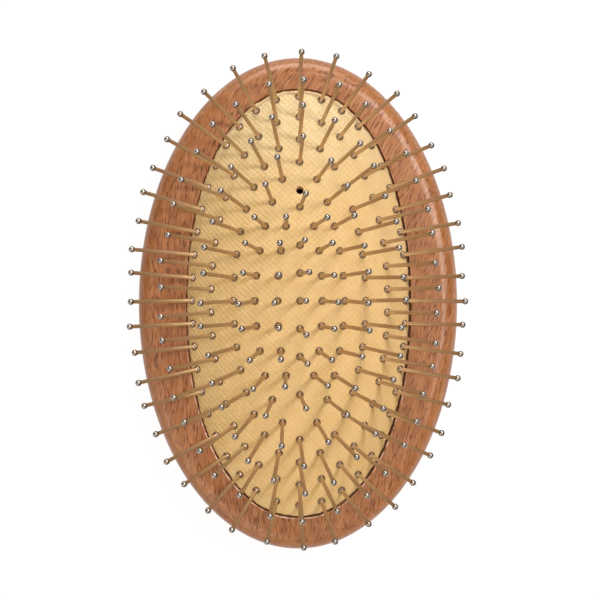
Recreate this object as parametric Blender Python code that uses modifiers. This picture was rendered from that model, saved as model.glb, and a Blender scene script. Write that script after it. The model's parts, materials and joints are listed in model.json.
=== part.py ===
# Oval palm massage brush: a wooden body holds a domed rubber air cushion set with ball-tipped steel pins.
# Metres, +Z up. The origin is the middle of the flat back and +Y runs along the brush.

import math

import bmesh
import bpy
import numpy as np
from mathutils import Matrix, Vector
from mathutils.geometry import delaunay_2d_cdt

mm = 0.001

# Wooden body
body_length = 134 * mm
body_width = 87 * mm
body_height = 18 * mm
rim_rounding = 4.6 * mm
back_rounding = 7 * mm
side_rim_width = 13 * mm
end_rim_width = 8.8 * mm
chamber_depth = 8 * mm
oval_squareness = 2.13
body_outline_count = 64
edge_outline_count = 56
rim_rounding_steps = 3
back_rounding_steps = 4
rounding_limit_share = 0.42
oval_samples = 1441

# Rubber cushion
crown_height = 11 * mm
crown_fullness = 2.6
crown_skew_shares = (-0.12, 0.05)
cushion_wall = 1.2 * mm
skirt_drop = 2.8 * mm
flange_reach = 1.8 * mm
vent_diameter = 2.1 * mm
vent_place_share = 0.523
vent_sides = 8

# Steel pins. The tables have one entry for each ring, from the edge inwards.
pin_length = 23.4 * mm
ball_diameter = 1.6 * mm
wire_diameter = 1 * mm
collar_diameter = 2.1 * mm
collar_height = 0.8 * mm
ball_waist_share = 0.45
pin_sides = 4
pin_scatter = math.radians(1.6)
golden_turn = math.pi * (3 - math.sqrt(5))
ring_pin_counts = (44, 38, 32, 24, 16)
ring_group_counts = (11, 10, 8, 6, 4)
ring_width_shares = (0.943, 0.778, 0.582, 0.394, 0.196)
ring_length_shares = (0.95, 0.852, 0.746, 0.64, 0.432)
ring_squareness_shares = (0.991, 0.95, 0.89, 0.786, 0.966)
end_zone_share = 0.75
centre_pin_count = 5
centre_pitch = 7.45 * mm
pin_field_offset = 0.76 * mm

# Hidden rail that joins the tails of one group of pins
rail_diameter = 1.5 * mm
rail_drop = 0.5 * mm

# Fits
clearance = 0.3 * mm
overrun = 2 * mm
weld_distance = 0.01 * mm

# Places that follow from the sizes above
rim_level = body_height
opening_width = body_width - 2 * side_rim_width
opening_length = body_length - 2 * end_rim_width
edge_half_width = opening_width / 2 - clearance
edge_half_length = opening_length / 2 - clearance
flange_level = rim_level - skirt_drop
groove_low = flange_level - cushion_wall - clearance
groove_high = flange_level + clearance
tail_depth = cushion_wall + rail_drop + rail_diameter / 2

colours = {
    "wood": ((0.45, 0.16, 0.07), 0.45, 0.0),
    "rubber": ((0.80, 0.60, 0.28), 0.75, 0.0),
    "steel": ((0.62, 0.58, 0.54), 0.25, 1.0),
}


def clear_scene():
    for item in list(bpy.data.objects):
        bpy.data.objects.remove(item)


def make_collection(name):
    group = bpy.data.collections.new(name)
    bpy.context.scene.collection.children.link(group)
    return group


def add_object(name, data, group, parent=None):
    item = bpy.data.objects.new(name, data)
    group.objects.link(item)
    item.parent = parent
    return item


def add_empty(name, group, level):
    item = add_object(name, None, group)
    item.location.z = level
    return item


def paint(item, kind):
    colour, roughness, metallic = colours[kind]
    material = bpy.data.materials.new(item.name)
    material.use_nodes = True
    shader = material.node_tree.nodes["Principled BSDF"]
    shader.inputs["Base Color"].default_value = (*colour, 1)
    shader.inputs["Roughness"].default_value = roughness
    shader.inputs["Metallic"].default_value = metallic
    item.data.materials.append(material)


def smooth(mesh, angle=math.radians(40)):
    mesh.shade_smooth()
    mesh.set_sharp_from_angle(angle=angle)


# The evaluated mesh of an object, with loose caps welded, in place of the object
def bake(item):
    graph = bpy.context.evaluated_depsgraph_get()
    mesh = bpy.data.meshes.new_from_object(item.evaluated_get(graph))
    bm = bmesh.new()
    bm.from_mesh(mesh)
    bmesh.ops.remove_doubles(bm, verts=bm.verts, dist=weld_distance)
    bm.to_mesh(mesh)
    bm.free()
    bpy.data.objects.remove(item)
    return mesh


# Points of an oval at equal steps of arc, clockwise from its top end
def oval(half_width, half_length, squareness, count):
    turn = np.linspace(0, 2 * math.pi, oval_samples)
    across = half_width * np.sign(np.sin(turn)) * np.abs(np.sin(turn)) ** (2 / squareness)
    along = half_length * np.sign(np.cos(turn)) * np.abs(np.cos(turn)) ** (2 / squareness)
    run = np.concatenate([[0], np.cumsum(np.hypot(np.diff(across), np.diff(along)))])
    marks = np.arange(count) / count * run[-1]
    return np.stack([np.interp(marks, run, across), np.interp(marks, run, along)], axis=1)


# The cushion's edge oval, or a like one that lies a little outside it
def edge_oval(margin):
    outline = oval(edge_half_width, edge_half_length, oval_squareness, edge_outline_count)
    return outline * [1 + margin / edge_half_width, 1 + margin / edge_half_length]


# A closed slab with an oval outline between two levels
def oval_slab(name, outline, low, high, group):
    curve = bpy.data.curves.new(name, "CURVE")
    curve.dimensions = "2D"
    curve.fill_mode = "BOTH"
    curve.extrude = (high - low) / 2
    spline = curve.splines.new("POLY")
    spline.points.add(len(outline) - 1)
    for point, (x, y) in zip(spline.points, outline):
        point.co = (x, y, 0, 1)
    spline.use_cyclic_u = True
    mesh = bake(add_object(name, curve, group))
    mesh.transform(Matrix.Translation((0, 0, (low + high) / 2)))
    bm = bmesh.new()
    bm.from_mesh(mesh)
    bmesh.ops.dissolve_limit(bm, angle_limit=math.radians(1), verts=bm.verts, edges=bm.edges)
    bmesh.ops.recalc_face_normals(bm, faces=bm.faces)
    bm.to_mesh(mesh)
    bm.free()
    return add_object(name, mesh, group)


def round_edges(mesh, level, rounding, steps):
    radius = min(rounding, body_height * rounding_limit_share)
    bm = bmesh.new()
    bm.from_mesh(mesh)
    edges = [e for e in bm.edges if all(abs(v.co.z - level) < weld_distance for v in e.verts)]
    bmesh.ops.bevel(bm, geom=edges, offset=radius, segments=steps, profile=0.5, affect="EDGES")
    bm.to_mesh(mesh)
    bm.free()


def cut(item, cutter):
    cutter.hide_render = True
    cutter.display_type = "WIRE"
    modifier = item.modifiers.new(cutter.name, "BOOLEAN")
    modifier.operation = "DIFFERENCE"
    modifier.solver = "EXACT"
    modifier.object = cutter


# An oval block with a flat rim and back, hollowed to an air chamber with an undercut groove
def make_body(group, cutters, parent):
    outline = oval(body_width / 2, body_length / 2, 2, body_outline_count)
    body = oval_slab("wood_body", outline, 0, body_height, group)
    body.parent = parent
    round_edges(body.data, body_height, rim_rounding, rim_rounding_steps)
    round_edges(body.data, 0, back_rounding, back_rounding_steps)
    chamber = edge_oval(clearance)
    groove = edge_oval(flange_reach + clearance)
    cut(body, oval_slab("chamber_cutter", chamber, rim_level - chamber_depth, rim_level + overrun, cutters))
    cut(body, oval_slab("groove_cutter", groove, groove_low, groove_high, cutters))
    smooth(body.data)
    paint(body, "wood")


# Height of the cushion's outer face: crown * (1 - s ** fullness) over the rim, where s runs from 0 in
# the middle to 1 at the edge, times a factor that leans the crown a little off the middle
def dome_point(x, y):
    across = abs(x) / edge_half_width
    along = abs(y) / edge_half_length
    spread = min(across ** oval_squareness + along ** oval_squareness, 1)
    fall = spread ** (crown_fullness / oval_squareness)
    skew = 1 + crown_skew_shares[0] * x / edge_half_width + crown_skew_shares[1] * y / edge_half_length
    return Vector((x, y, rim_level + crown_height * (1 - fall) * skew))


# The dome's outward normal at a place, from two short steps along its face
def dome_normal(x, y):
    step = wire_diameter / 10
    run_x = dome_point(x + step, y) - dome_point(x - step, y)
    run_y = dome_point(x, y + step) - dome_point(x, y - step)
    return run_x.cross(run_y).normalized()


# The frame of each pin of a ring: its Z axis stands on the cushion with a small lean of its own,
# its X axis follows the ring, and its origin lies on the cushion's outer face
def pin_frames(places, closed, first_number):
    frames = []
    count = len(places)
    for index, (x, y) in enumerate(places):
        after = places[(index + 1) % count] if closed else places[min(index + 1, count - 1)]
        before = places[index - 1] if closed else places[max(index - 1, 0)]
        normal = dome_normal(x, y)
        ahead = Vector((*(after - before), 0))
        aside = normal.cross(ahead).normalized()
        ahead = aside.cross(normal)
        number = first_number + index
        size = math.tan(pin_scatter) * math.sqrt(number * golden_turn % 1)
        turn = number * golden_turn
        axis = (normal + size * (math.cos(turn) * ahead + math.sin(turn) * aside)).normalized()
        aside = axis.cross(ahead).normalized()
        ahead = aside.cross(axis)
        frame = Matrix((ahead, aside, axis)).transposed().to_4x4()
        frame.translation = dome_point(x, y)
        frames.append(frame)
    return frames


# Corners of a hole in the plane of a frame, with a flat side of the hole across its X axis
def hole_corners(frame, radius, sides):
    turns = [2 * math.pi * (k + 0.5) / sides for k in range(sides)]
    return [frame @ Vector((radius * math.cos(t), radius * math.sin(t), 0)) for t in turns]


# The pierced dome is triangulated flat, lifted onto the dome, and its edge drawn down and out
def make_cushion(group, parent, frames):
    edge = [Vector(place) for place in edge_oval(0)]
    vent_y = opening_length / 2 * vent_place_share
    vent_frame = Matrix.Translation(dome_point(0, vent_y))
    hole_radius = wire_diameter / 2 + clearance / math.cos(math.pi / pin_sides)
    loops = [edge, [p.xy for p in hole_corners(vent_frame, vent_diameter / 2, vent_sides)]]
    for frame in frames:
        loops.append([p.xy for p in hole_corners(frame, hole_radius, pin_sides)])
    points, edges, owners = [], [], []
    for number, loop in enumerate(loops):
        start = len(points)
        points += loop
        owners += [number] * len(loop)
        edges += [(start + k, start + (k + 1) % len(loop)) for k in range(len(loop))]
    flat = delaunay_2d_cdt(points, edges, [], 1, weld_distance)
    owner = [owners[origins[0]] for origins in flat[3]]
    holes = [face for face in flat[2] if owner[face[0]] > 0 and len({owner[v] for v in face}) == 1]
    faces = [face for face in flat[2] if face not in holes]

    mesh = bpy.data.meshes.new("cushion_membrane")
    mesh.from_pydata([dome_point(*p) for p in flat[0]], [], faces)
    bm = bmesh.new()
    bm.from_mesh(mesh)
    bmesh.ops.recalc_face_normals(bm, faces=bm.faces)
    if sum(f.normal.z for f in bm.faces) < 0:
        bmesh.ops.reverse_faces(bm, faces=bm.faces)
    border = [e for e in bm.edges if e.is_boundary]
    rim = [e for e in border if all(abs(v.co.z - rim_level) < weld_distance for v in e.verts)]
    spread = bmesh.ops.extrude_edge_only(bm, edges=rim)["geom"]
    rim = [e for e in spread if isinstance(e, bmesh.types.BMEdge)]
    for vert in {v for e in rim for v in e.verts}:
        vert.co.z = flange_level
    spread = bmesh.ops.extrude_edge_only(bm, edges=rim)["geom"]
    for vert in [v for v in spread if isinstance(v, bmesh.types.BMVert)]:
        vert.co.x *= (edge_half_width + flange_reach) / edge_half_width
        vert.co.y *= (edge_half_length + flange_reach) / edge_half_length
    bm.to_mesh(mesh)
    bm.free()

    cushion = add_object("cushion_membrane", mesh, group, parent)
    wall = cushion.modifiers.new("wall", "SOLIDIFY")
    wall.thickness = cushion_wall
    wall.offset = -1
    wall.use_even_offset = True
    wall.use_quality_normals = True
    smooth(mesh)
    paint(cushion, "rubber")


# A pin turned about its axis: ball tip, shaft, conical collar above the cushion and tail below it.
# A flat side faces along the ring, so the rail leaves through the middle of that side.
def make_pin(group):
    ball = ball_diameter / 2
    waist = ball * ball_waist_share
    waist_radius = math.sqrt(ball ** 2 - waist ** 2)
    wire = wire_diameter / 2
    neck = pin_length - math.sqrt(ball ** 2 - wire ** 2)
    profile = [
        (0, pin_length + ball),
        (waist_radius, pin_length + waist),
        (waist_radius, pin_length - waist),
        (wire, neck),
        (wire, clearance + collar_height),
        (collar_diameter / 2, clearance),
        (wire, clearance),
        (wire, -tail_depth),
        (0, -tail_depth),
    ]
    mesh = bpy.data.meshes.new("pin")
    mesh.from_pydata([(r, 0, z) for r, z in profile], [(k, k + 1) for k in range(len(profile) - 1)], [])
    pin = add_object("pin", mesh, group)
    turned = pin.modifiers.new("turned", "SCREW")
    turned.steps = pin_sides
    turned.render_steps = pin_sides
    turned.use_merge_vertices = True
    turned.merge_threshold = weld_distance
    turned.use_normal_calculate = True
    mesh = bake(pin)
    mesh.transform(Matrix.Rotation(math.pi / pin_sides, 4, "Z"))
    return mesh


# A square bar through the tails of one group, with a corner of its section towards every pin's tip
def make_rail(name, frames, group):
    radius = rail_diameter / 2
    places = [(frames[0], -radius)] + [(frame, 0) for frame in frames] + [(frames[-1], radius)]
    points = []
    for frame, ahead in places:
        for turn in np.arange(4) * math.pi / 2:
            aside, up = radius * math.sin(turn), radius * math.cos(turn)
            points.append(frame @ Vector((ahead, aside, up - tail_depth)))
    faces = [(0, 1, 2, 3), tuple(range(len(points) - 4, len(points)))]
    for start in range(0, len(points) - 4, 4):
        for k in range(4):
            after = (k + 1) % 4
            faces.append((start + k, start + after, start + 4 + after, start + 4 + k))
    mesh = bpy.data.meshes.new(name)
    mesh.from_pydata(points, [], faces)
    bm = bmesh.new()
    bm.from_mesh(mesh)
    bmesh.ops.recalc_face_normals(bm, faces=bm.faces)
    bm.to_mesh(mesh)
    bm.free()
    return add_object(name, mesh, group)


# One group of pins on its hidden rail
def make_pin_group(name, frames, pin, group, parent):
    rail = make_rail(name, frames, group)
    bm = bmesh.new()
    for frame in frames:
        fresh = len(bm.verts)
        bm.from_mesh(pin)
        bm.verts.ensure_lookup_table()
        bmesh.ops.transform(bm, matrix=frame, verts=bm.verts[fresh:])
    joined = bpy.data.meshes.new(name)
    bm.to_mesh(joined)
    bm.free()
    pins = add_object(name + "_loose", joined, group)
    union = rail.modifiers.new("pins", "BOOLEAN")
    union.operation = "UNION"
    union.solver = "EXACT"
    union.object = pins
    comb = add_object(name, bake(rail), group, parent)
    bpy.data.objects.remove(pins)
    comb.name = name
    comb.matrix_parent_inverse = parent.matrix_basis.inverted()
    smooth(comb.data)
    paint(comb, "steel")


# Consecutive pins of a ring in nearly equal groups, the first group centred on the top end
def split_ring(frames, group_count):
    count = len(frames)
    bounds = [round(k * count / group_count) for k in range(group_count + 1)]
    shift = bounds[1] // 2
    return [[frames[(k - shift) % count] for k in range(a, b)] for a, b in zip(bounds, bounds[1:])]


def main():
    clear_scene()
    group = make_collection("massage_brush")
    cutters = make_collection("cutters")
    brush = add_empty("brush", group, 0)
    make_body(group, cutters, brush)

    rings = []
    for ring, count in enumerate(ring_pin_counts):
        half_width = opening_width / 2 * ring_width_shares[ring]
        half_length = opening_length / 2 * ring_length_shares[ring]
        squareness = oval_squareness * ring_squareness_shares[ring]
        places = oval(half_width, half_length, squareness, count) + [0, pin_field_offset]
        rings.append(pin_frames(places, True, sum(ring_pin_counts[:ring])))
    steps = np.arange(centre_pin_count) - (centre_pin_count - 1) / 2
    column = np.stack([steps * 0, pin_field_offset - steps * centre_pitch], axis=1)
    centre = pin_frames(column, False, sum(ring_pin_counts))
    make_cushion(group, brush, [frame for ring in rings + [centre] for frame in ring])

    pin = make_pin(group)
    for ring, frames in enumerate(rings):
        zones = {}
        far = opening_length / 2 * ring_length_shares[ring] * end_zone_share
        for number, some in enumerate(split_ring(frames, ring_group_counts[ring])):
            middle = abs(sum(frame.translation.y - pin_field_offset for frame in some)) / len(some)
            zone = "" if ring == 0 else "_ends" if middle > far else "_sides"
            if zone not in zones:
                zones[zone] = add_empty(f"ring_{ring + 1}{zone}_press", group, rim_level)
            make_pin_group(f"ring_{ring + 1}_pins_{number + 1:02d}", some, pin, group, zones[zone])
    make_pin_group("centre_pins", centre, pin, group, add_empty("centre_press", group, rim_level))


main()
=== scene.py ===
import json
import math

import bpy
import numpy as np
from mathutils import Matrix, Vector


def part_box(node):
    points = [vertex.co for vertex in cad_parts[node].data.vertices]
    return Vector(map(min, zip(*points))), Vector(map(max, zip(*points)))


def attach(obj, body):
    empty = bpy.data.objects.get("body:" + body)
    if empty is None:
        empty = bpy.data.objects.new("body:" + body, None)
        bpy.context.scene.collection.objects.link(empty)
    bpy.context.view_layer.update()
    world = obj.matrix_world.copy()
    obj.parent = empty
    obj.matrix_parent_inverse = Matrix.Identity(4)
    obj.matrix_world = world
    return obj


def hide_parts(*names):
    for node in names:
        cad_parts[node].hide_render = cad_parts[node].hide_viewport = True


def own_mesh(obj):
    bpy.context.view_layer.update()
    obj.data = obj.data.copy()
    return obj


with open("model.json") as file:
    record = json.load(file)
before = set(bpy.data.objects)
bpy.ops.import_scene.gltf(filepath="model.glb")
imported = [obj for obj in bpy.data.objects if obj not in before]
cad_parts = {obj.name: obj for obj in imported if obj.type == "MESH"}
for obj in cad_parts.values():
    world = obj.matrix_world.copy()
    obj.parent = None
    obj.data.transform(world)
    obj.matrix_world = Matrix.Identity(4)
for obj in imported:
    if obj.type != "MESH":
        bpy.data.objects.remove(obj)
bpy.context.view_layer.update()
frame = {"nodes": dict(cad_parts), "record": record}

# Oval massage brush: lacquered wooden body, cloth-faced air cushion, ball-tipped steel pins.
# Metres. The flat back lies on the floor at z = 0, and +Y is the top of the picture.
# In the settings a fade is (from, to, value before, value after), and a cut or reach is (from, to).

mm = 0.001
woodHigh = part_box("wood_body")[1]
bodyOfNode = {}
for body, nodes in frame["record"]["behaviour"]["bodies"].items():
    bodyOfNode.update(dict.fromkeys(nodes, body))
print("frame loaded with", len(frame["nodes"]), "nodes")


# Meshes from grids of points

def normalised(vectors):
    return vectors / np.linalg.norm(vectors, axis=-1, keepdims=True)


# Numbers that act on a stack of rings of places, one number to a ring
def perRing(values):
    return np.reshape(values, (-1, 1, 1))


# Rings of (x, y) places at their levels as one array of rows, columns and three coordinates
def ringsAt(places, levels):
    places = np.asarray(places, float)
    levels = np.broadcast_to(np.asarray(levels, float).reshape(-1, 1), places.shape[:2])
    return np.concatenate([places, levels[..., None]], axis=-1)


# Faces of a grid whose columns run round a closed loop. Quads join each row to the next, and the last
# row to the first where closeRows is set; otherwise a fan closes each end at a pole. The points run
# row by row, with the two poles after them.
def gridFaces(rows, columns, closeRows):
    starts = np.arange(rows if closeRows else rows - 1)
    row, column = np.meshgrid(starts, np.arange(columns), indexing="ij")
    here, after = row * columns, (row + 1) % rows * columns
    beside = (column + 1) % columns
    quads = np.stack([here + column, here + beside, after + beside, after + column], -1).reshape(-1, 4)
    if closeRows:
        return quads, np.zeros((0, 3), int)
    column, beside = column[0], beside[0]
    last = (rows - 1) * columns
    first = np.stack([np.full(columns, rows * columns), beside, column], -1)
    final = np.stack([last + column, last + beside, np.full(columns, rows * columns + 1)], -1)
    return quads, np.concatenate([first, final])


# The faces turned round where the volume that they close, the sum of a . (b x c) / 6 over their
# triangles, comes out negative, so that they look outward
def facedOutward(points, quads, triangles):
    fans = np.concatenate([quads[:, [0, 1, 2]], quads[:, [0, 2, 3]], triangles])
    a, b, c = points[fans[:, 0]], points[fans[:, 1]], points[fans[:, 2]]
    if np.einsum("ij,ij->", a, np.cross(b, c)) < 0:
        return quads[:, ::-1], triangles[:, ::-1]
    return quads, triangles


def addObject(name, data):
    thing = bpy.data.objects.new(name, data)
    bpy.context.scene.collection.objects.link(thing)
    return thing


def addMesh(name, points, quads, triangles, sharpAngle):
    mesh = bpy.data.meshes.new(name)
    mesh.from_pydata(points.tolist(), [], quads.tolist() + triangles.tolist())
    mesh.shade_smooth()
    mesh.set_sharp_from_angle(angle=math.radians(sharpAngle))
    return addObject(name, mesh)


# A smooth piece from a grid of rings, with poles as two points or none for a grid closed both ways
def addPiece(name, grid, poles, sharpAngle):
    rows, columns = grid.shape[:2]
    points = grid.reshape(-1, 3)
    if poles is not None:
        points = np.concatenate([points, poles])
    quads, triangles = facedOutward(points, *gridFaces(rows, columns, poles is None))
    return addMesh(name, points, quads, triangles, sharpAngle)


def addValues(piece, name, values):
    data = piece.data.attributes.new(name, "FLOAT", "POINT").data
    data.foreach_set("value", np.asarray(values, np.float32).ravel())


def addVectors(piece, name, vectors):
    data = piece.data.attributes.new(name, "FLOAT_VECTOR", "POINT").data
    data.foreach_set("vector", np.asarray(vectors, np.float32).ravel())


# A finished piece gets its material and the body that it rides on, and the CAD node it stands for is
# hidden
def dress(piece, material, node):
    piece.data.materials.append(material)
    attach(piece, bodyOfNode[node])
    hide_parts(node)


# Ovals: x = w * sgn(sin t) * |sin t| ** (2 / q) and y = l * sgn(cos t) * |cos t| ** (2 / q), from the
# top end clockwise
def ovalAt(halfWidth, halfLength, squareness, turn):
    x = halfWidth * np.sign(np.sin(turn)) * np.abs(np.sin(turn)) ** (2 / squareness)
    y = halfLength * np.sign(np.cos(turn)) * np.abs(np.cos(turn)) ** (2 / squareness)
    return np.stack([x, y], -1)


# The same oval at equal steps of arc
def ovalSteps(halfWidth, halfLength, squareness, count, samples=1441):
    fine = ovalAt(halfWidth, halfLength, squareness, np.linspace(0, 2 * math.pi, samples))
    run = np.concatenate([[0], np.cumsum(np.linalg.norm(np.diff(fine, axis=0), axis=1))])
    marks = np.arange(count) / count * run[-1]
    return np.stack([np.interp(marks, run, fine[:, 0]), np.interp(marks, run, fine[:, 1])], -1)


# Distance in from an oval: (1 - s) over the slope of s, where s = (|x/w| ** q + |y/l| ** q) ** (1 / q)
def distanceInside(half, squareness, places):
    shares = np.maximum(np.abs(places / half), 1e-6)
    spread = np.sum(shares ** squareness, -1) ** (1 / squareness)
    steep = spread[..., None] ** (1 - squareness) * shares ** (squareness - 1) / half
    return (1 - spread) / np.linalg.norm(steep, axis=-1)


# A rounded corner: steps inward r (1 - cos t) and upward r sin t, for t from 0 to a quarter turn
def cornerSteps(radius, count):
    turn = np.linspace(0, math.pi / 2, count + 1)
    return radius * (1 - np.cos(turn)), radius * np.sin(turn)


# Node trees

# Inputs are plain values, or sockets to link from
def setInputs(tree, node, inputs):
    for key, value in inputs.items():
        if isinstance(value, bpy.types.NodeSocket):
            tree.links.new(value, node.inputs[key])
        else:
            node.inputs[key].default_value = value


# Adds a node: settings are its own properties
def addNode(tree, kind, settings=None, inputs=None):
    node = tree.nodes.new(kind)
    for key, value in (settings or {}).items():
        setattr(node, key, value)
    setInputs(tree, node, inputs or {})
    return node


def calc(tree, operation, *values):
    node = addNode(tree, "ShaderNodeMath", {"operation": operation}, dict(enumerate(values)))
    return node.outputs[0]


# first * firstShare + second * secondShare
def weighed(tree, first, firstShare, second, secondShare):
    first = calc(tree, "MULTIPLY", first, firstShare)
    return calc(tree, "ADD", first, calc(tree, "MULTIPLY", second, secondShare))


# A noise value moved to lie either side of zero, over a given width
def swung(tree, value, width):
    return calc(tree, "MULTIPLY", calc(tree, "SUBTRACT", value, 0.5), width)


# Value remapped softly from one range to another and kept inside it
def ranged(tree, value, fromLow, fromHigh, toLow=0.0, toHigh=1.0):
    inputs = {"Value": value, 1: fromLow, 2: fromHigh, 3: toLow, 4: toHigh}
    return addNode(tree, "ShaderNodeMapRange", {"interpolation_type": "SMOOTHSTEP"}, inputs).outputs[0]


# The first colour turned into the second by a share; a colour is a socket or three numbers
def mixColours(tree, share, first, second):
    node = addNode(tree, "ShaderNodeMix", {"data_type": "RGBA"})
    colours = [(*colour, 1) if isinstance(colour, tuple) else colour for colour in (first, second)]
    setInputs(tree, node, {0: share, 6: colours[0], 7: colours[1]})
    return node.outputs[2]


# The colour tinted by a share where the mask is 1
def tinted(tree, colour, mask, share, tint):
    return mixColours(tree, calc(tree, "MULTIPLY", mask, share), colour, tint)


# 1 beside an edge, and fading out over the last part of a width
def nearEdge(tree, distance, width, solid=0.6):
    return ranged(tree, distance, width * solid, width, 1.0, 0.0)


def noise(tree, vector, scale, detail=2.0, roughness=0.5):
    inputs = {"Vector": vector, "Scale": scale, "Detail": detail, "Roughness": roughness}
    return addNode(tree, "ShaderNodeTexNoise", None, inputs).outputs["Fac"]


def attribute(tree, name, output="Fac"):
    return addNode(tree, "ShaderNodeAttribute", {"attribute_name": name}).outputs[output]


def split(tree, vector):
    return addNode(tree, "ShaderNodeSeparateXYZ", None, {0: vector}).outputs


def bumped(tree, strength, distance, height):
    inputs = {"Strength": strength, "Distance": distance, "Height": height}
    return addNode(tree, "ShaderNodeBump", None, inputs).outputs[0]


# A new material, and its tree, shader and Object coordinates
def startMaterial(name):
    material = bpy.data.materials.new(name)
    material.use_nodes = True
    tree = material.node_tree
    shader = tree.nodes["Principled BSDF"]
    place = addNode(tree, "ShaderNodeTexCoord").outputs["Object"]
    return material, tree, shader, place


# Shared by every finish: soft clouds of handling wear between a low and a high value
def makeCloudGroup():
    group = bpy.data.node_groups.new("softClouds", "ShaderNodeTree")
    group.interface.new_socket("Vector", in_out="INPUT", socket_type="NodeSocketVector")
    for label, value in (("Scale", 60.0), ("Low", 0.0), ("High", 1.0)):
        socket = group.interface.new_socket(label, in_out="INPUT", socket_type="NodeSocketFloat")
        socket.default_value = value
    group.interface.new_socket("Value", in_out="OUTPUT", socket_type="NodeSocketFloat")
    ends = addNode(group, "NodeGroupInput").outputs
    cloud = noise(group, ends["Vector"], ends["Scale"], detail=4.0, roughness=0.6)
    value = ranged(group, cloud, 0.3, 0.7, ends["Low"], ends["High"])
    addNode(group, "NodeGroupOutput", None, {"Value": value})
    return group


cloudGroup = makeCloudGroup()


def clouds(tree, place, scale, low, high):
    inputs = {"Vector": place, "Scale": scale, "Low": low, "High": high}
    return addNode(tree, "ShaderNodeGroup", {"node_tree": cloudGroup}, inputs).outputs[0]


# Wooden body

wood = {
    "rimRounding": 4.6 * mm,
    "backRounding": 7 * mm,
    "sideRim": 13 * mm,
    "endRim": 8.8 * mm,
    "squareness": 2.13,  # of the opening
    "openingBevel": 0.35 * mm,
    "chamberDepth": 8 * mm,
    "grooveReach": 2.1 * mm,
    "grooveTop": 2.5 * mm,
    "grooveBottom": 4.3 * mm,
    "columns": 256,
    "backSteps": 9,
    "rimSteps": 14,
    "bevelSteps": 4,
    "wallSteps": 3,
    "backRings": (0.3, 0.6, 0.85, 0.97),  # shares of the flat back
    "rimRings": (0.04, 0.3, 0.6, 0.95),  # shares of the way across the flat rim
    "floorRing": 0.5,  # share of the opening
    "sharpAngle": 50,
    "baseColour": (0.397, 0.146, 0.042),
    "paleColour": (0.49, 0.199, 0.068),
    "paleShare": 0.6,
    "darkStreak": (0.27, 0.08, 0.02),
    "paleStreak": (0.61, 0.31, 0.155),
    "fleckColour": (0.16, 0.042, 0.01),
    "toneScale": 34.0,  # of the noise, per metre, as every scale is
    "streakSize": (2.6 * mm, 45 * mm),  # width, and length along the grain
    "streakCut": (0.36, 0.66),  # noise from where a streak begins to where it is full
    "streakShare": 0.5,
    "fineSize": (0.546 * mm, 9 * mm),  # of the fine pale streaks
    "fineCut": (0.5, 0.7),
    "fineShare": 0.3,
    "patchScale": 130.0,
    "hairSize": (0.42 * mm, 4 * mm),
    "hairPatches": 0.2,  # how much thicker the hairs grow in patches
    "hairCut": (0.61, 0.73),
    "hairShare": 0.42,
    "hairDent": 0.4,  # of a fleck's
    "fleckSize": (0.44 * mm, 2.5 * mm),
    "fleckPatches": 0.12,  # how much thinner the flecks grow there
    "fleckCut": (0.53, 0.6),
    "fleckShare": 0.86,
    "edgeShare": 0.4,  # of the hairs and flecks that shows on the rounded side
    "edgeStart": 0.1 * mm,  # level off the flat rim and back where they begin to thin out
    "edgeEnd": 0.9 * mm,
    "grainSway": 1.2 * mm,
    "swayScale": 70.0,
    "grainRelief": 0.35,  # strength of the bump
    "grainDepth": 0.03 * mm,
    "slantStart": 10 * mm,  # above this the grain leans over to the right
    "slantBend": 3.2,  # per metre
    "sideSlant": (-25 * mm, 40 * mm, 0.0, 0.27),  # lean of the grain, from the left to the right side
    # painted glint along the opening's edge, where the bevel catches the light
    "paintedGlintColour": (0.86, 0.56, 0.40),
    "paintedGlintWidth": 0.5 * mm,  # of the opening's edge that takes the painted glint, a pale line where the bevel catches the light
    "paintedGlintStart": 0.15 * mm,  # level below the rim
    "paintedGlintEnd": 0.45 * mm,
    "paintedGlintScale": 420.0,
    "paintedGlintBreaks": (0.42, 0.57, 0.15, 1.0),
    "paintedGlintBottom": (-36 * mm, -8 * mm, 0.85, 0.12),  # the painted glint, up from the lower end
    "paintedGlintRight": (8 * mm, 28 * mm, 0.0, 0.25),
    "specular": 0.12,
    "satin": (0.4, 0.52),  # roughness under the lacquer
    "satinScale": 220.0,
    "coat": (0.45, 0.65),
    "coatScale": 90.0,
    "coatRoughness": 0.2,
}
rimLevel = woodHigh.z
openingHalf = np.array([woodHigh.x - wood["sideRim"], woodHigh.y - wood["endRim"]])
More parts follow.
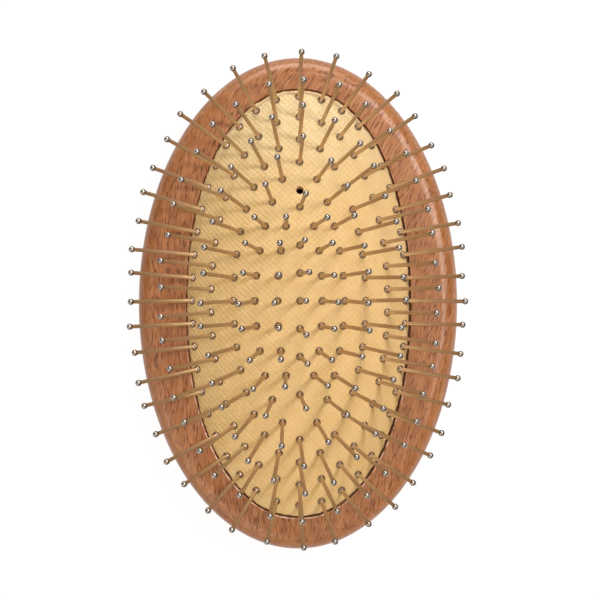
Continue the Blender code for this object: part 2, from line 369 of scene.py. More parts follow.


# Stained beech under satin lacquer: long streaks and short dark flecks that follow the grain, which runs
# along y, leans on the right side, and bends to x - k * max(y - y0, 0) ** 2 near the top. A broken pale
# line along the opening's edge, strongest at the lower end, is a painted glint where the bevel catches
# the light.
def lacqueredBeech():
    material, tree, shader, place = startMaterial("lacqueredBeech")
    x, y, z = split(tree, place)
    above = calc(tree, "MAXIMUM", calc(tree, "SUBTRACT", y, wood["slantStart"]), 0.0)
    bend = calc(tree, "MULTIPLY", calc(tree, "MULTIPLY", above, above), wood["slantBend"])
    lean = calc(tree, "MULTIPLY", y, ranged(tree, x, *wood["sideSlant"]))
    across = calc(tree, "SUBTRACT", calc(tree, "SUBTRACT", x, bend), lean)
    sway = swung(tree, noise(tree, place, wood["swayScale"]), wood["grainSway"])
    across = calc(tree, "ADD", across, sway)

    # Noise whose spots have a width and a length along the grain; shift sets it apart from the others
    def grain(size, shift, detail=0.0, roughness=0.5):
        width, length = size
        parts = {
            0: calc(tree, "ADD", calc(tree, "DIVIDE", across, width), shift),
            1: calc(tree, "DIVIDE", y, length),
            2: calc(tree, "DIVIDE", z, width),
        }
        spots = addNode(tree, "ShaderNodeCombineXYZ", None, parts).outputs[0]
        return noise(tree, spots, 1.0, detail, roughness)

    streak = grain(wood["streakSize"], shift=3.0, detail=3.0, roughness=0.65)
    streak = ranged(tree, streak, *wood["streakCut"])
    fine = ranged(tree, grain(wood["fineSize"], shift=73.0), *wood["fineCut"])
    patch = noise(tree, place, wood["patchScale"])
    denser = calc(tree, "MULTIPLY", patch, wood["hairPatches"])
    hair = calc(tree, "ADD", grain(wood["hairSize"], shift=41.0), denser)
    hair = ranged(tree, hair, *wood["hairCut"])
    sparser = calc(tree, "MULTIPLY", patch, wood["fleckPatches"])
    fleck = calc(tree, "SUBTRACT", grain(wood["fleckSize"], shift=17.0), sparser)
    fleck = ranged(tree, fleck, *wood["fleckCut"])
    start, end, few = wood["edgeStart"], wood["edgeEnd"], wood["edgeShare"]
    onRim = ranged(tree, z, rimLevel - end, rimLevel - start, few, 1.0)
    onFlat = calc(tree, "MAXIMUM", onRim, ranged(tree, z, start, end, 1.0, few))
    tone = clouds(tree, place, wood["toneScale"], 0.0, wood["paleShare"])
    colour = mixColours(tree, tone, wood["baseColour"], wood["paleColour"])
    layers = (
        (streak, wood["streakShare"], wood["darkStreak"]),
        (fine, wood["fineShare"], wood["paleStreak"]),
        (calc(tree, "MULTIPLY", hair, onFlat), wood["hairShare"], wood["darkStreak"]),
        (calc(tree, "MULTIPLY", fleck, onFlat), wood["fleckShare"], wood["fleckColour"]),
    )
    for marks, share, tint in layers:
        colour = tinted(tree, colour, marks, share, tint)
    # Painted glint: a broken pale line along the opening's edge where the bevel catches the light,
    # strongest at the lower end and faint at the right
    paintedGlint = nearEdge(tree, attribute(tree, "openingMargin"), wood["paintedGlintWidth"])
    onEdge = ranged(tree, z, rimLevel - wood["paintedGlintEnd"], rimLevel - wood["paintedGlintStart"])
    breaks = ranged(tree, noise(tree, place, wood["paintedGlintScale"]), *wood["paintedGlintBreaks"])
    atBottom = ranged(tree, y, *wood["paintedGlintBottom"])
    atRight = ranged(tree, x, *wood["paintedGlintRight"])
    for mask in (onEdge, breaks, calc(tree, "MAXIMUM", atBottom, atRight)):
        paintedGlint = calc(tree, "MULTIPLY", paintedGlint, mask)
    colour = mixColours(tree, paintedGlint, colour, wood["paintedGlintColour"])
    dent = weighed(tree, fleck, -1.0, hair, -wood["hairDent"])
    setInputs(tree, shader, {
        "Base Color": colour,
        "Roughness": clouds(tree, place, wood["satinScale"], *wood["satin"]),
        "Specular IOR Level": wood["specular"],
        "Normal": bumped(tree, wood["grainRelief"], wood["grainDepth"], dent),
        "Coat Weight": clouds(tree, place, wood["coatScale"], *wood["coat"]),
        "Coat Roughness": wood["coatRoughness"],
    })
    return material


# A profile swept round: outside, its rings lie inside the ellipse (a sin t, b cos t) by an inset along
# the normal; inside, they lie beyond the opening's oval by a margin; the flat rim blends one to the other
def makeWoodBody():
    turn = np.arange(wood["columns"]) / wood["columns"] * 2 * math.pi
    a, b = woodHigh.x, woodHigh.y
    outline = np.stack([a * np.sin(turn), b * np.cos(turn)], -1)
    inward = -normalised(np.stack([b * np.sin(turn), a * np.cos(turn)], -1))
    opening = ovalAt(*openingHalf, wood["squareness"], turn)

    def outside(insets, levels):
        return ringsAt(outline + inward * perRing(insets), levels)

    def inside(margins, levels):
        return ringsAt(opening * (1 + perRing(margins) / openingHalf), levels)

    backRadius, rimRadius, bevel = wood["backRounding"], wood["rimRounding"], wood["openingBevel"]
    backIn, backUp = cornerSteps(backRadius, wood["backSteps"])
    rimIn, rimUp = cornerSteps(rimRadius, wood["rimSteps"])
    bevelIn, bevelUp = cornerSteps(bevel, wood["bevelSteps"])
    wallLevels = np.linspace(backRadius, rimLevel - rimRadius, wood["wallSteps"] + 1)[1:-1]
    rimStart = outside(rimRadius, rimLevel)
    rimEnd = inside(bevel, rimLevel)
    reach, top, bottom = wood["grooveReach"], wood["grooveTop"], wood["grooveBottom"]
    floorLevel = rimLevel - wood["chamberDepth"]
    grid = np.concatenate([
        outside(backRadius, 0) * perRing(wood["backRings"]),
        outside(backIn[::-1], backRadius - backUp[::-1]),
        outside(np.zeros(len(wallLevels)), wallLevels),
        outside(rimIn, rimLevel - rimRadius + rimUp),
        rimStart + (rimEnd - rimStart) * perRing(wood["rimRings"]),
        inside(bevelIn[::-1], rimLevel - bevel + bevelUp[::-1]),
        inside([0, reach, reach, 0], rimLevel - np.array([top, top, bottom, bottom])),
        inside([0], floorLevel),
        ringsAt(opening[None] * wood["floorRing"], floorLevel),
    ])
    piece = addPiece("woodBody", grid, [(0, 0, 0), (0, 0, floorLevel)], wood["sharpAngle"])
    margin = -distanceInside(openingHalf, wood["squareness"], grid[..., :2])
    addValues(piece, "openingMargin", np.append(margin, [0, 0]))
    dress(piece, lacqueredBeech(), "wood_body")


makeWoodBody()
print("wooden body made")


# Air cushion

cushion = {
    "crownHeight": 11 * mm,
    "fullness": 2.6,
    "skew": (-0.12, 0.05),
    "gap": 0.3 * mm,
    "wall": 1.2 * mm,
    "skirtDrop": 2.8 * mm,
    "flangeReach": 1.8 * mm,
    "edgeInset": -0.04 * mm,  # how far the edge is drawn in from the CAD edge
    "edgeShift": 0.18 * mm,  # more towards the right, less towards the left
    "shiftTurn": math.radians(105),  # from the top end clockwise
    "edgeRipple": 0.045 * mm,  # of each wave along the edge
    "rippleCounts": (29, 53, 97),  # waves round the edge
    "rippleStarts": (1, 2, 0),
    "seamWidth": 0.3 * mm,
    "lipWidth": 0.7 * mm,
    "lipDrop": 0.8 * mm,
    "bareEnd": 1.0 * mm,  # rubber left bare outside the cloth at the top end
    "ventRadius": 1.07 * mm,
    "ventNarrowing": 0.2 * mm,
    "ventSlant": 0.45 * mm,
    "ventShare": 0.523,  # of the way from the middle to the top of the opening
    "columns": 288,
    "rows": 84,
    "lipSteps": 8,
    "innerRows": 14,
    "sharpAngle": 40,
    "pressKeep": 1 - 4 / 10.856,  # the press takes 4 mm of the crown's 10.856 mm under the middle pins
    "clothColour": (0.83, 0.59, 0.265),
    "clothShade": (0.75, 0.485, 0.17),
    "shadeShare": 0.45,
    "toneScale": 45.0,
    "stainScale": 420.0,
    "stainCut": (0.5, 0.75),
    "paleColour": (0.86, 0.67, 0.35),
    "paleShare": 0.4,
    "mottleScale": 240.0,
    # painted shade in the weave's grooves
    "paintedGrooveShade": (0.62, 0.335, 0.095),
    "crestHighlightColour": (1.0, 0.77, 0.38),
    "crestHighlightTop": (0.05, 0.4, 1.0, 0.0),  # painted highlight on the rib crests, between the grooves
    "crestHighlightSlubs": (0.45, 0.7),  # on thick yarn
    "crestHighlightFade": (-28 * mm, -4 * mm, 0.95, 0.15),  # from the left to the middle
    "endColour": (0.81, 0.66, 0.375),  # painted light: the cloth paler towards the more brightly lit top end
    "paintedEndFade": (18 * mm, 54 * mm, 0.0, 0.85),
    "bareColour": (0.80, 0.56, 0.27),
    "bareReach": (42 * mm, 56 * mm),  # up to where the rubber is bare
    "cutRaggedness": 0.5 * mm,
    "cutSoftness": 0.05 * mm,
    "cutLineColour": (0.30, 0.14, 0.045),
    "cutLineFade": (0.06 * mm, 0.24 * mm, 0.45, 0.0),
    "seamColour": (0.34, 0.13, 0.04),
    "seamRaggedness": 0.9 * mm,
    "rubberColour": (0.46, 0.26, 0.11),
    "rubberReach": (0.0, 0.25),  # by the within attribute
    "ribPitch": 1.2 * mm,
    "ribSway": 1.0 * mm,
    "swayScale": 90.0,
    "ribFullness": 0.7,  # power of a rib's section
    "ribFade": (0.0, 0.65, 1.0, 0.0),  # painted groove shade between ribs
    "yarnHeight": 0.35,
    "yarnFade": (0.0, 0.8, 1.0, 0.0),  # and between yarns
    "yarnShare": 0.85,
    "fallingHeight": 0.6,  # ribs whose lines fall to the right
    "fallingFade": (-26 * mm, 6 * mm, 1.0, 0.5),  # their painted groove shade, from the left to the middle
    "fallingReturn": (4 * mm, 22 * mm, 0.0, 0.25),  # and what comes back at the right
    "risingHeight": 0.4,
    "risingFade": (-14 * mm, 18 * mm, 0.3, 0.8),
    "slubScale": 650.0,
    "slubFade": (0.35, 0.65, 0.45, 1.1),  # painted groove shade deeper along thick yarn
    "calmSlope": 0.45,
    "calmReach": (-20 * mm, 8 * mm),  # along x - slope * y, down to the lower right
    "calmWeave": 0.48,  # strength of the ribs and their painted groove shade down there
    "meanGrooveShade": 0.35,  # share of painted groove shade kept where the weave is weaker
    "clothLift": 0.6,  # of the cloth over bare rubber, in the bump's depths
    "weaveDepth": 0.13 * mm,
    "weaveRelief": 1.0,  # strength of the bump
    "matt": (0.62, 0.82),
    "mattScale": 300.0,
    "specular": 0.3,
    "sheen": 0.15,
    "sheenRoughness": 0.5,
}
edgeHalf = openingHalf - cushion["gap"]


# Height of the cloth face: rim + crown * (1 - s ** fullness) * (1 + a x + b y), where s is 0 in the
# middle and 1 on the edge oval
def domeAt(places):
    x, y = places[..., 0], places[..., 1]
    power = wood["squareness"]
    spread = np.minimum(np.abs(x / edgeHalf[0]) ** power + np.abs(y / edgeHalf[1]) ** power, 1)
    lean = 1 + cushion["skew"][0] * x / edgeHalf[0] + cushion["skew"][1] * y / edgeHalf[1]
    height = cushion["crownHeight"] * (1 - spread ** (cushion["fullness"] / power)) * lean
    return np.concatenate([places, (rimLevel + height)[..., None]], -1)


# Outward normals from two short steps along the face
def domeNormals(places):
    step = 0.1 * mm
    runX = domeAt(places + [step, 0]) - domeAt(places - [step, 0])
    runY = domeAt(places + [0, step]) - domeAt(places - [0, step])
    return normalised(np.cross(runX, runY))


# How far each place is from the middle along the draped cloth: the length of the face's section from 0 to
# x, and from 0 to y, in straight steps
def clothRuns(places, steps=24):
    share = np.linspace(0, 1, steps + 1).reshape(-1, *([1] * (places.ndim - 1)))
    x, y = places[..., 0], places[..., 1]

    def length(sectionX, sectionY):
        section = domeAt(np.stack([sectionX, sectionY], -1))
        return np.linalg.norm(np.diff(section, axis=0), axis=-1).sum(0)

    across = length(x * share, y + 0 * share)
    along = length(x + 0 * share, y * share)
    return np.stack([np.sign(x) * across, np.sign(y) * along, 0 * x], -1)


# Ribbed cotton glued on rubber. Along each diagonal the height is |cos(pi u / p)| for the ribs, with
# |sin(2 pi u / p)| for the two yarns of a rib. Painted shade darkens the grooves, and a painted highlight
# lights the crests on the left. The weave is weaker towards the lower right. Towards the top end the
# cloth is painted paler as painted light, and at the top end it stops short of the edge.
def clothOnRubber():
    material, tree, shader, place = startMaterial("clothOnRubber")
    x, y = split(tree, attribute(tree, "clothRun", "Vector"))[:2]
    edge = attribute(tree, "edgeDistance")
    sway = calc(tree, "MULTIPLY", noise(tree, place, cushion["swayScale"]), cushion["ribSway"])
    slub = noise(tree, place, cushion["slubScale"])
    turns = math.pi / cushion["ribPitch"] / math.sqrt(2)

    def ribs(run):
        phase = calc(tree, "MULTIPLY", calc(tree, "ADD", run, sway), turns)
        rib = calc(tree, "ABSOLUTE", calc(tree, "COSINE", phase))
        yarn = calc(tree, "ABSOLUTE", calc(tree, "SINE", calc(tree, "MULTIPLY", phase, 2.0)))
        crown = calc(tree, "POWER", rib, cushion["ribFullness"])
        height = calc(tree, "ADD", crown, calc(tree, "MULTIPLY", yarn, cushion["yarnHeight"]))
        grooveShade = calc(tree, "MULTIPLY", ranged(tree, yarn, *cushion["yarnFade"]), cushion["yarnShare"])
        grooveShade = calc(tree, "MAXIMUM", grooveShade, ranged(tree, rib, *cushion["ribFade"]))
        return height, grooveShade

    fallingHeight, fallingGrooveShade = ribs(calc(tree, "ADD", x, y))  # lines that fall to the right
    risingHeight, risingGrooveShade = ribs(calc(tree, "SUBTRACT", x, y))
    height = weighed(tree, fallingHeight, cushion["fallingHeight"], risingHeight, cushion["risingHeight"])
    fallingShare = ranged(tree, x, *cushion["fallingFade"])
    fallingShare = calc(tree, "ADD", fallingShare, ranged(tree, x, *cushion["fallingReturn"]))
    risingShare = ranged(tree, x, *cushion["risingFade"])
    grooveShade = weighed(tree, fallingGrooveShade, fallingShare, risingGrooveShade, risingShare)
    grooveShade = calc(tree, "MULTIPLY", grooveShade, ranged(tree, slub, *cushion["slubFade"]))
    # The weave's bump and painted groove shade grow weaker towards the lower right
    fallen = calc(tree, "SUBTRACT", x, calc(tree, "MULTIPLY", y, cushion["calmSlope"]))
    strength = ranged(tree, fallen, *cushion["calmReach"], 1.0, cushion["calmWeave"])
    grooveShade = calc(tree, "MULTIPLY", calc(tree, "SUBTRACT", grooveShade, cushion["meanGrooveShade"]), strength)
    grooveShade = calc(tree, "ADD", grooveShade, cushion["meanGrooveShade"])
    tone = clouds(tree, place, cushion["toneScale"], 0.0, cushion["shadeShare"])
    colour = mixColours(tree, tone, cushion["clothColour"], cushion["clothShade"])
    mottle = clouds(tree, place, cushion["mottleScale"], 0.0, 1.0)
    colour = tinted(tree, colour, mottle, cushion["paleShare"], cushion["paleColour"])
    stain = ranged(tree, noise(tree, place, cushion["stainScale"]), *cushion["stainCut"])
    colour = tinted(tree, colour, stain, cushion["shadeShare"], cushion["clothShade"])
    # Painted highlight on the crests of the ribs that fall to the right, strongest at the left
    crestHighlight = ranged(tree, fallingGrooveShade, *cushion["crestHighlightTop"])
    crestHighlight = calc(tree, "MULTIPLY", crestHighlight, ranged(tree, slub, *cushion["crestHighlightSlubs"]))
    crestHighlight = calc(tree, "MULTIPLY", crestHighlight, ranged(tree, x, *cushion["crestHighlightFade"]))
    # Painted light: paler towards the top end, where more light falls
    colour = mixColours(tree, ranged(tree, y, *cushion["paintedEndFade"]), colour, cushion["endColour"])
    # Painted shade darkens the weave's grooves, more on the left
    colour = mixColours(tree, grooveShade, colour, cushion["paintedGrooveShade"])
    colour = mixColours(tree, crestHighlight, colour, cushion["crestHighlightColour"])
    atTop = ranged(tree, y, *cushion["bareReach"])
    limit = calc(tree, "MULTIPLY", atTop, cushion["bareEnd"])
    limit = calc(tree, "ADD", limit, swung(tree, slub, cushion["cutRaggedness"]))
    past = calc(tree, "SUBTRACT", edge, limit)
    onCloth = ranged(tree, past, -cushion["cutSoftness"], cushion["cutSoftness"])
    colour = mixColours(tree, onCloth, cushion["bareColour"], colour)
    # Darker along the cloth's cut edge at the top end
    cutLine = ranged(tree, calc(tree, "ABSOLUTE", past), *cushion["cutLineFade"])
    colour = tinted(tree, colour, cutLine, atTop, cushion["cutLineColour"])
    ragged = calc(tree, "ADD", edge, swung(tree, slub, cushion["seamRaggedness"]))
    seam = nearEdge(tree, ragged, cushion["seamWidth"])
    colour = mixColours(tree, seam, colour, cushion["seamColour"])
    within = ranged(tree, attribute(tree, "within"), *cushion["rubberReach"])
    colour = mixColours(tree, within, colour, cushion["rubberColour"])
    height = calc(tree, "ADD", calc(tree, "MULTIPLY", height, strength), cushion["clothLift"])
    height = calc(tree, "MULTIPLY", height, onCloth)
    setInputs(tree, shader, {
        "Base Color": colour,
        "Roughness": clouds(tree, place, cushion["mattScale"], *cushion["matt"]),
        "Normal": bumped(tree, cushion["weaveRelief"], cushion["weaveDepth"], height),
        "Specular IOR Level": cushion["specular"],
        "Sheen Weight": cushion["sheen"],
        "Sheen Roughness": cushion["sheenRoughness"],
    })
    return material


# A closed shell: the face runs on straight rays from the vent's circle to the edge oval, rolls over the
# lip by a circle's quarter, drops as a skirt, turns out as a flange and comes back as the inner face
def makeCushion():
    columns = cushion["columns"]
    edge = ovalSteps(*edgeHalf, wood["squareness"], columns)
    turn = np.arange(columns) / columns * 2 * math.pi
    starts = np.reshape(cushion["rippleStarts"], (-1, 1))
    ripple = np.sin(np.outer(cushion["rippleCounts"], turn) + starts).sum(0)
    inset = cushion["edgeInset"] + cushion["edgeShift"] * np.cos(turn - cushion["shiftTurn"])
    inset += cushion["edgeRipple"] * ripple
    edge = edge * (1 - inset[:, None] / edgeHalf)
    ventPlace = np.array([0, openingHalf[1] * cushion["ventShare"]])
    around = normalised(edge - ventPlace)
    vent = ventPlace + cushion["ventRadius"] * around

    def edgeRing(insets):
        return edge * (1 - perRing(insets) / edgeHalf)

    shoulder = edgeRing(cushion["lipWidth"])
    face = domeAt(vent + (shoulder - vent) * perRing(np.linspace(0, 1, cushion["rows"])))
    roll = np.linspace(0, math.pi / 2, cushion["lipSteps"] + 1)[1:]
    lip = domeAt(edgeRing(cushion["lipWidth"] * (1 - np.sin(roll))))
    lip[..., 2] -= cushion["lipDrop"] * (1 - np.cos(roll)).reshape(-1, 1)
    reach, wall = cushion["flangeReach"], cushion["wall"]
    flangeTop = rimLevel - cushion["skirtDrop"]
    flangeBottom = flangeTop - wall
    levels = [flangeTop, flangeTop, flangeBottom, flangeBottom]
    hidden = ringsAt(edgeRing([0, -reach, -reach, wall]), levels)
    innerEdge = edgeRing(cushion["lipWidth"] + wall)
    innerPlaces = vent + (innerEdge - vent) * perRing(np.linspace(1, 0, cushion["innerRows"]))
    inner = domeAt(innerPlaces) - domeNormals(innerPlaces) * wall
    narrow = cushion["ventRadius"] - cushion["ventNarrowing"]
    inner[-1, :, :2] = ventPlace + narrow * around - [0, cushion["ventSlant"]]
    inner[-1, :, 2] = domeAt(ventPlace)[2] - wall
    grid = np.concatenate([face, lip, hidden, inner])
    piece = addPiece("airCushion", grid, None, cushion["sharpAngle"])
    distance = distanceInside(edgeHalf, wood["squareness"], grid[..., :2])
    addValues(piece, "edgeDistance", distance - inset)
    addVectors(piece, "clothRun", clothRuns(grid[..., :2]))
    addValues(piece, "within", np.repeat(np.arange(len(grid)) >= len(face) + len(lip), columns))
    dress(piece, clothOnRubber(), "cushion_membrane")
    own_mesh(piece)


makeCushion()
print("air cushion made")


# Steel pins, in rings from the edge inwards and a column in the middle

pins = {
    "length": 23.4 * mm,
    "ballRadius": 0.86 * mm,
    "ballTurns": (32, 67, 103),  # degrees from the tip to each ring of the ball
    "wireRadius": 0.5 * mm,
    "neckStep": 0.05 * mm,
    "beadRadius": 1.05 * mm,
    "beadHeight": 0.85 * mm,
    "beadStep": 0.06 * mm,
    "beadNeck": 1.1,  # share of the wire's radius
    "beadRings": ((0.78, 0.76), (1.0, 0.3)),  # shares of the bead's radius and height
    "beadFoot": 0.9,
    "beadPolish": 0.5,
    "footDepth": 0.2 * mm,  # of the bead inside the cloth, which a pole closes a little deeper
    "poleDepth": 0.1 * mm,
    "sides": 10,
    "sideFill": 1.035,  # gives the ten-sided section the area of the round one
    "sharpAngle": 55,
    "scatter": math.radians(1.6),
    "goldenTurn": math.pi * (3 - math.sqrt(5)),
    "ringCounts": (44, 38, 32, 24, 16),
    "ringGroups": (11, 10, 8, 6, 4),
    "ringWidths": (0.943, 0.778, 0.582, 0.394, 0.196),  # shares of the opening
    "ringLengths": (0.95, 0.852, 0.746, 0.64, 0.432),
    "ringSquareness": (0.991, 0.95, 0.89, 0.786, 0.966),  # shares of the opening's
    "centreCount": 5,
    "centrePitch": 7.45 * mm,
    "fieldOffset": 0.76 * mm,  # the pins lie a little towards the top
    "ballColour": (0.2, 0.188, 0.184),
    # painted reflection of the cloth: the wire lighter near the cloth and endColour darker towards the
    # ball
    "wireColour": (0.61, 0.44, 0.25),
    "endColour": (0.42, 0.30, 0.20),
    "beadColour": (0.235, 0.185, 0.16),
    "tarnishColour": (0.42, 0.30, 0.18),
    "tarnishShare": 0.25,
    "tarnishScale": 400.0,
    "beadReach": (0.1, 0.4),  # by the polish attribute
    "ballReach": (0.7, 0.95),
    "wireRoughness": (0.34, 0.42),
    "wireScale": 700.0,
    "ballShine": 0.29,  # taken off that roughness on a ball
    "metalFade": (0.1, 0.5, 0.92, 1.0),
}


# Bright steel balls on warm drawn wire: polish is 1 on a ball, 0 on the wire and in between on a bead,
# and reach runs from 0 at the cloth to 1 at the ball; along it the wire's colour is painted lighter near
# the cloth, a painted reflection of the cloth, and darker towards the ball
def pinSteel():
    material, tree, shader, place = startMaterial("pinSteel")
    polish = attribute(tree, "polish")
    # Painted reflection: the wire lighter and warmer near the cloth, darker towards the ball
    colour = mixColours(tree, attribute(tree, "reach"), pins["wireColour"], pins["endColour"])
    colour = mixColours(tree, ranged(tree, polish, *pins["beadReach"]), colour, pins["beadColour"])
    colour = mixColours(tree, ranged(tree, polish, *pins["ballReach"]), colour, pins["ballColour"])
    tarnish = clouds(tree, place, pins["tarnishScale"], 0.0, pins["tarnishShare"])
    colour = mixColours(tree, tarnish, colour, pins["tarnishColour"])
    roughness = clouds(tree, place, pins["wireScale"], *pins["wireRoughness"])
    setInputs(tree, shader, {
        "Base Color": colour,
        "Roughness": calc(tree, "SUBTRACT", roughness, calc(tree, "MULTIPLY", polish, pins["ballShine"])),
        "Metallic": ranged(tree, polish, *pins["metalFade"]),
    })
    return material


# Frames of the pins of a ring: ahead follows the ring, the axis is the dome's normal leaned a little by
# size * (cos * ahead + sin * aside), with the lean's direction one golden turn on from pin to pin
def pinFrames(places, ahead, firstNumber):
    normal = domeNormals(places)
    ahead = np.concatenate([ahead, np.zeros((len(ahead), 1))], -1)
    aside = normalised(np.cross(normal, ahead))
    ahead = np.cross(aside, normal)
    number = firstNumber + np.arange(len(places))
    size = math.tan(pins["scatter"]) * np.sqrt(number * pins["goldenTurn"] % 1)
    turn = number * pins["goldenTurn"]
    axis = normal + (size * np.cos(turn))[:, None] * ahead + (size * np.sin(turn))[:, None] * aside
    axis = normalised(axis)
    aside = normalised(np.cross(axis, ahead))
    ahead = np.cross(aside, axis)
    return domeAt(places), np.stack([ahead, aside, axis], 1)


# Radius, level and polish down one pin: ball, wire and bead, which is closed inside the cloth
def pinProfile():
    ball, wire = pins["ballRadius"], pins["wireRadius"]
    bead, top, shine = pins["beadRadius"], pins["beadHeight"], pins["beadPolish"]
    neck = pins["length"] - math.sqrt(ball ** 2 - wire ** 2)
    turn = np.radians(pins["ballTurns"])
    rows = [(ball * math.sin(t), pins["length"] + ball * math.cos(t), 1) for t in turn]
    rows += [
        (wire, neck, 1),
        (wire, neck - pins["neckStep"], 0),
        (wire, top + pins["beadStep"], 0),
        (wire * pins["beadNeck"], top, shine),
        *[(bead * wide, top * high, shine) for wide, high in pins["beadRings"]],
        (bead * pins["beadFoot"], -pins["footDepth"], shine),
    ]
    return np.array(rows)


# Every pin of a group as one turned surface: origin + r cos t * ahead + r sin t * aside + z * axis
def makePinGroup(name, node, origins, frames, material):
    turn = np.arange(pins["sides"]) / pins["sides"] * 2 * math.pi
    radius, level, polish = pinProfile().T
    radius = radius * pins["sideFill"]
    local = np.stack([
        radius[:, None] * np.cos(turn),
        radius[:, None] * np.sin(turn),
        np.broadcast_to(level[:, None], (len(level), len(turn))),
    ], -1).reshape(-1, 3)
    top = pins["length"] + pins["ballRadius"]
    local = np.concatenate([local, [(0, 0, top), (0, 0, level[-1] - pins["poleDepth"])]])
    quads, triangles = facedOutward(local, *gridFaces(len(level), len(turn), False))
    points = origins[:, None] + np.einsum("vk,pkj->pvj", local, frames)
    step = perRing(np.arange(len(origins))) * len(local)
    quads = (quads[None] + step).reshape(-1, 4)
    triangles = (triangles[None] + step).reshape(-1, 3)
    piece = addMesh(name, points.reshape(-1, 3), quads, triangles, pins["sharpAngle"])
    onePin = np.concatenate([np.repeat(polish, len(turn)), [1, pins["beadPolish"]]])
    addValues(piece, "polish", np.tile(onePin, len(origins)))
    addValues(piece, "reach", np.tile(local[:, 2] / pins["length"], len(origins)))
    dress(piece, material, node)


def makePins():
    material = pinSteel()
    first = 0
    for ring, count in enumerate(pins["ringCounts"]):
        half = openingHalf * [pins["ringWidths"][ring], pins["ringLengths"][ring]]
        places = ovalSteps(*half, wood["squareness"] * pins["ringSquareness"][ring], count)
        places = places + [0, pins["fieldOffset"]]
        ahead = np.roll(places, -1, axis=0) - np.roll(places, 1, axis=0)
        origins, frames = pinFrames(places, ahead, first)
        first += count
        groups = pins["ringGroups"][ring]
        bounds = [round(k * count / groups) for k in range(groups + 1)]
        for number, (start, end) in enumerate(zip(bounds, bounds[1:])):
            chosen = (np.arange(start, end) - bounds[1] // 2) % count
            node = f"ring_{ring + 1}_pins_{number + 1:02d}"
            name = f"ring{ring + 1}Pins{number + 1:02d}"
            makePinGroup(name, node, origins[chosen], frames[chosen], material)
    steps = np.arange(pins["centreCount"]) - (pins["centreCount"] - 1) / 2
    column = np.stack([steps * 0, pins["fieldOffset"] - steps * pins["centrePitch"]], -1)
    origins, frames = pinFrames(column, np.gradient(column, axis=0), first)
    makePinGroup("centrePins", "centre_pins", origins, frames, material)


makePins()
print("steel pins made")


# Floor, lights and camera

studio = {
    "floorHalf": 4.0,
    "floorLevel": -0.2 * mm,
    "floorColour": (0.82, 0.82, 0.81),
    "floorRoughness": 0.9,
    "floorGlow": 0.93,
    "floorShade": (0.12, 0.12, 0.12, 1),  # diffuse share that shows the shadow
    "roomColour": (1.0, 0.94, 0.83),
    "roomRise": (0.42, 0.98),  # z of the direction from where the wall ends to where the ceiling is full
    "wallGlow": 0.16,
    "ceilingGlow": 0.98,
    "darkSide": (0.15, 0.8, 1.0, 0.45),  # along x
    "fillTurn": (-0.1, -1.0),  # towards the paler wall
    "fillFade": (0.0, 0.9, 0.0, 0.58),
    "lightTurn": math.radians(30),  # from +X towards +Y
    "lightRise": math.radians(62),
    "keyDistance": 0.7,
    "keySize": 0.14,
    "keyPower": 2.3,
    "keyColour": (0.97, 1.01, 1.17),
    "panelDistance": 0.75,
    "panelSize": 0.44,
    "panelGlow": 8.0,
    "panelColour": (1.0, 0.97, 0.93),
    "cardColour": (1.0, 0.89, 0.75),
    "upperEnd": (0, 0.06, 0.01),  # what the two cards at the top end face
    "endCardPlace": (0, 0.75, 0.28),
    "endCardSize": (0.5, 0.35),
    "endCardPower": 2.2,
    "endCardColour": (0.94, 0.99, 1.08),
    "glareCardPlace": (0, 0.7, 0.36),
    "glareCardSize": (0.8, 0.5),
    "glareCardGlow": 5.0,
    "sideCardPlace": (-0.44, -0.4, 0.46),
    "sideCardSize": (1.0, 0.75),
    "sideCardGlow": 1.8,
    "cameraDistance": 720 * mm,
    "cameraLean": (-0.031, 0.0065),
    "scale": 3.684,  # picture points to a millimetre at the rim
    "rimCentre": (298.8, 303.5),  # where the middle of the rim lies in the picture
    "picture": 600,
    "sensor": 36.0,
}


def lightDirection(turn, rise):
    return Vector((math.cos(turn) * math.cos(rise), math.sin(turn) * math.cos(rise), math.sin(rise)))


# White to the eye and in reflections, with the object's shadow kept by a share of plain diffuse
def makeFloor():
    half, level = studio["floorHalf"], studio["floorLevel"]
    corners = [(-half, -half, level), (half, -half, level), (half, half, level), (-half, half, level)]
    mesh = bpy.data.meshes.new("floor")
    mesh.from_pydata(corners, [], [(0, 1, 2, 3)])
    floor = addObject("floor", mesh)
    material, tree, shader = startMaterial("studioFloor")[:3]
    setInputs(tree, shader, {
        "Base Color": (*studio["floorColour"], 1),
        "Roughness": studio["floorRoughness"],
    })
    rays = addNode(tree, "ShaderNodeLightPath").outputs
    seen = calc(tree, "MAXIMUM", rays["Is Camera Ray"], rays["Is Glossy Ray"])
    seen = calc(tree, "MAXIMUM", seen, rays["Is Transmission Ray"])
    glow = addNode(tree, "ShaderNodeEmission", None, {"Strength": studio["floorGlow"]})
    shade = addNode(tree, "ShaderNodeBsdfDiffuse", None, {"Color": studio["floorShade"]})
    white = addNode(tree, "ShaderNodeAddShader", None, {0: glow.outputs[0], 1: shade.outputs[0]})
    choice = {0: seen, 1: shader.outputs[0], 2: white.outputs[0]}
    mixed = addNode(tree, "ShaderNodeMixShader", None, choice).outputs[0]
    setInputs(tree, tree.nodes["Material Output"], {"Surface": mixed})
    mesh.materials.append(material)


# A room with a wide white ceiling, dimmer towards the walls and dark at the right, with a paler wall
# at the lower end
def makeSky():
    world = bpy.data.worlds.new("softRoom")
    world.use_nodes = True
    tree = world.node_tree
    background = tree.nodes["Background"]
    x, y, z = split(tree, addNode(tree, "ShaderNodeTexCoord").outputs["Generated"])
    strength = ranged(tree, z, *studio["roomRise"], studio["wallGlow"], studio["ceilingGlow"])
    strength = calc(tree, "MULTIPLY", strength, ranged(tree, x, *studio["darkSide"]))
    turnX, turnY = studio["fillTurn"]
    fill = ranged(tree, weighed(tree, x, turnX, y, turnY), *studio["fillFade"])
    setInputs(tree, background, {
        "Color": (*studio["roomColour"], 1),
        "Strength": calc(tree, "ADD", strength, fill),
    })
    bpy.context.scene.world = world


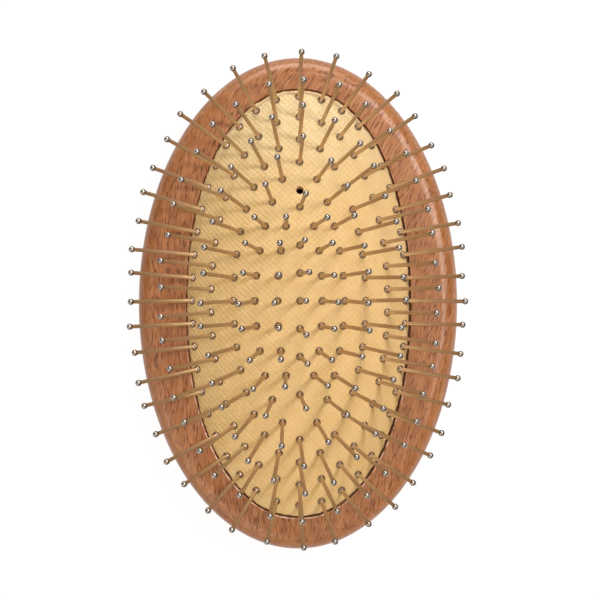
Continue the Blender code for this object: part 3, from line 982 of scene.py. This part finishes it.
def addSoftbox(name, place, target, size, power, colour):
    data = bpy.data.lights.new(name, "AREA")
    data.shape = "RECTANGLE"
    data.size, data.size_y = size
    data.energy = power
    data.color = colour
    lamp = addObject(name, data)
    lamp.location = place
    lamp.rotation_euler = (Vector(target) - Vector(place)).to_track_quat("-Z", "Y").to_euler()
    return lamp


# A card that is seen only in reflections, and shines at a given level all over
def addCard(name, place, target, size, glow, colour=studio["cardColour"]):
    power = glow * math.pi * size[0] * size[1]
    card = addSoftbox(name, place, target, size, power, colour)
    card.visible_diffuse = False


def makeLights():
    towards = lightDirection(studio["lightTurn"], studio["lightRise"])
    middle, end = (0, 0, rimLevel), studio["upperEnd"]
    place = towards * studio["keyDistance"]
    size = (studio["keySize"], studio["keySize"])
    key = addSoftbox("keyLight", place, middle, size, studio["keyPower"], studio["keyColour"])
    key.visible_glossy = False
    place, size = studio["endCardPlace"], studio["endCardSize"]
    addSoftbox("endCard", place, end, size, studio["endCardPower"], studio["endCardColour"])
    addCard("glareCard", studio["glareCardPlace"], end, studio["glareCardSize"], studio["glareCardGlow"])
    addCard("sideCard", studio["sideCardPlace"], middle, studio["sideCardSize"], studio["sideCardGlow"])
    place = towards * studio["panelDistance"]
    size = (studio["panelSize"], studio["panelSize"])
    addCard("keyPanel", place, middle, size, studio["panelGlow"], studio["panelColour"])


# The lens makes one picture point of the rim's plane as large as it is in the photograph, and the shift
# puts the rim's middle on its place
def makeCamera():
    data = bpy.data.cameras.new("camera")
    data.sensor_width = studio["sensor"]
    distance = studio["cameraDistance"]
    data.lens = studio["scale"] / mm * distance * studio["sensor"] / studio["picture"]
    half = studio["picture"] / 2
    data.shift_x = (half - studio["rimCentre"][0]) / studio["picture"]
    data.shift_y = (studio["rimCentre"][1] - half) / studio["picture"]
    camera = addObject("camera", data)
    leanX, leanY = studio["cameraLean"]
    back = Vector((leanX, leanY, 1)).normalized()
    side = Vector((0, 1, 0)).cross(back).normalized()
    up = back.cross(side)
    turned = Matrix((side, up, back)).transposed().to_4x4()
    turned.translation = Vector((0, 0, rimLevel)) + back * distance
    camera.matrix_world = turned
    bpy.context.scene.camera = camera


makeFloor()
makeSky()
makeLights()
makeCamera()
bpy.context.scene.view_settings.view_transform = "Standard"
print("floor, lights and camera set")
